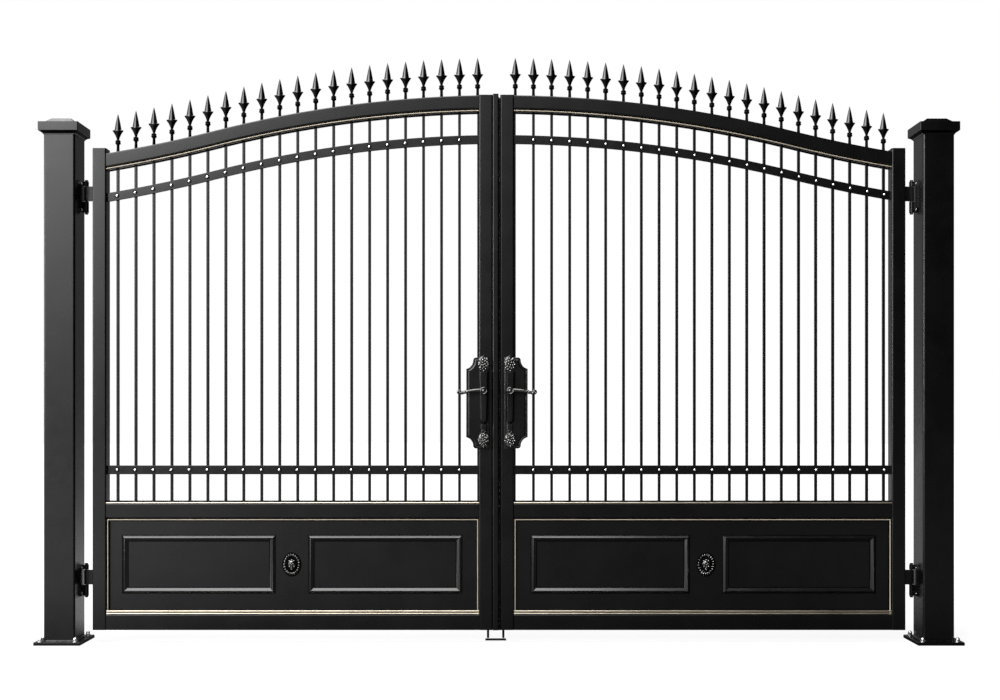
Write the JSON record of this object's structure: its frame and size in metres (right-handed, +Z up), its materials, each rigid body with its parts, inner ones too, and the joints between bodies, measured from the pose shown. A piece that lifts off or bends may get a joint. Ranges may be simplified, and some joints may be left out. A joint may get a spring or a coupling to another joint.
{
  "type": "wrought iron driveway gate",
  "caption": "Arched double-leaf swing gate of black iron bars and spear finials over moulded kick panels, hung on square posts, with lever locks and drop bolts.",
  "frame": {"origin": "centre of the underside of the left post's base plate, on the ground", "axes": "+X along the opening to the right post, +Y inwards, away from the street side that the picture shows, +Z up"},
  "size_m": [3.985, 0.2, 2.5425],
  "materials": {
    "black_iron": "satin black powder coat",
    "gilt": "champagne gold paint on steel bead"
  },
  "bodies": {
    "posts": {"left_post": "black_iron", "left_post_cap": "black_iron", "left_base_plate": "black_iron", "left_hinge_brackets": "black_iron", "right_post": "black_iron", "right_post_cap": "black_iron", "right_base_plate": "black_iron", "right_hinge_brackets": "black_iron", "floor_keeper": "black_iron"},
    "left_leaf": {"left_hinge_stile": "black_iron", "left_meeting_stile": "black_iron", "left_top_rail": "black_iron", "left_lock_rail": "black_iron", "left_bottom_rail": "black_iron", "left_infill": "black_iron", "left_finials": "black_iron", "left_gilt_beading": "gilt", "left_kick_panel": "black_iron", "left_rosettes": "black_iron", "left_lock_case": "black_iron", "left_lock_plates": "black_iron", "left_handle_bars": "black_iron", "left_hinge_straps": "black_iron", "left_bolt_guides": "black_iron", "left_meeting_strip": "black_iron"},
    "right_leaf": {"right_hinge_stile": "black_iron", "right_meeting_stile": "black_iron", "right_top_rail": "black_iron", "right_lock_rail": "black_iron", "right_bottom_rail": "black_iron", "right_infill": "black_iron", "right_finials": "black_iron", "right_gilt_beading": "gilt", "right_kick_panel": "black_iron", "right_rosettes": "black_iron", "right_lock_case": "black_iron", "right_lock_plates": "black_iron", "right_handle_bars": "black_iron", "right_hinge_straps": "black_iron", "right_bolt_guides": "black_iron"},
    "left_lever_body": {"left_lever": "black_iron"},
    "right_lever_body": {"right_lever": "black_iron"},
    "left_bolt_body": {"left_drop_bolt": "black_iron"},
    "right_bolt_body": {"right_drop_bolt": "black_iron"}
  },
  "joints": [
    {"name": "left_leaf_swing", "type": "hinge", "parent": "posts", "child": "left_leaf", "pos_m": [0.0865, 0.03, 0.264], "axis": [0, 0, 1], "range_deg": [0, 90]},
    {"name": "right_leaf_swing", "type": "hinge", "parent": "posts", "child": "right_leaf", "pos_m": [3.6985, 0.03, 0.264], "axis": [0, 0, -1], "range_deg": [0, 90]},
    {"name": "left_lever_turn", "type": "hinge", "parent": "left_leaf", "child": "left_lever_body", "pos_m": [1.8265, 0, 1.092], "axis": [0, -1, 0], "range_deg": [0, 45], "stiffness_Nm_per_rad": 1.5, "springref_deg": -22.92},
    {"name": "right_lever_turn", "type": "hinge", "parent": "right_leaf", "child": "right_lever_body", "pos_m": [1.9405, 0, 1.092], "axis": [0, 1, 0], "range_deg": [0, 45], "stiffness_Nm_per_rad": 1.5, "springref_deg": -22.92},
    {"name": "left_bolt_lift", "type": "slide", "parent": "left_leaf", "child": "left_bolt_body", "axis": [0, 0, 1], "range_m": [0, 0.08]},
    {"name": "right_bolt_lift", "type": "slide", "parent": "right_leaf", "child": "right_bolt_body", "axis": [0, 0, 1], "range_m": [0, 0.08]}
  ]
}
